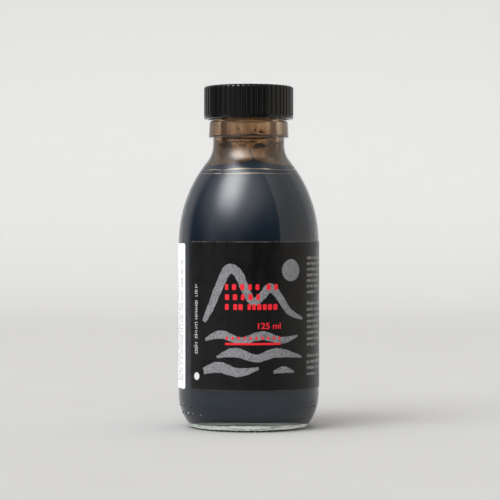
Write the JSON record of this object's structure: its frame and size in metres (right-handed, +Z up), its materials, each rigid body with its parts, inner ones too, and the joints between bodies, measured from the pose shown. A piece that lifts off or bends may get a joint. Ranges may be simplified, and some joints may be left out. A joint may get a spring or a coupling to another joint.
{
  "type": "ink bottle",
  "caption": "Round clear glass ink bottle with a ribbed screw cap, layered liner, black wrap label and white side sticker.",
  "frame": {"origin": "centre of the base, on the plane that the bottle stands on", "axes": "+Z up along the bottle's axis; -Y is the front of the label; +X is the viewer's right"},
  "size_m": [0.0494, 0.0493, 0.119],
  "materials": {
    "glass": "clear, very slightly green, polished",
    "ink": "liquid black ink, glossy surface",
    "cap_black": "moulded black, semi-gloss",
    "liner_facing": "smooth white film",
    "liner_backing": "pulp board",
    "label_black": "black printed, satin coated",
    "sticker_white": "white, satin coated"
  },
  "bodies": {
    "bottle": {"glass_bottle": "glass", "ink": "ink", "front_label": "label_black", "back_sticker": "sticker_white"},
    "liner": {"liner_facing": "liner_facing", "liner_backing": "liner_backing"},
    "cap": {"cap_shell": "cap_black"}
  },
  "joints": [
    {"name": "cap_lift", "type": "slide", "parent": "bottle", "child": "liner", "axis": [0, 0, 1], "range_m": [0, 0.01589]},
    {"name": "cap_turn", "type": "hinge", "parent": "liner", "child": "cap", "pos_m": [0, 0, 0.1125], "axis": [0, 0, 1], "range_deg": [0, 1800]}
  ],
  "couplings": [
    {"joint": "cap_lift", "follows": "cap_turn", "m_per_rad": 0.00050532}
  ]
}
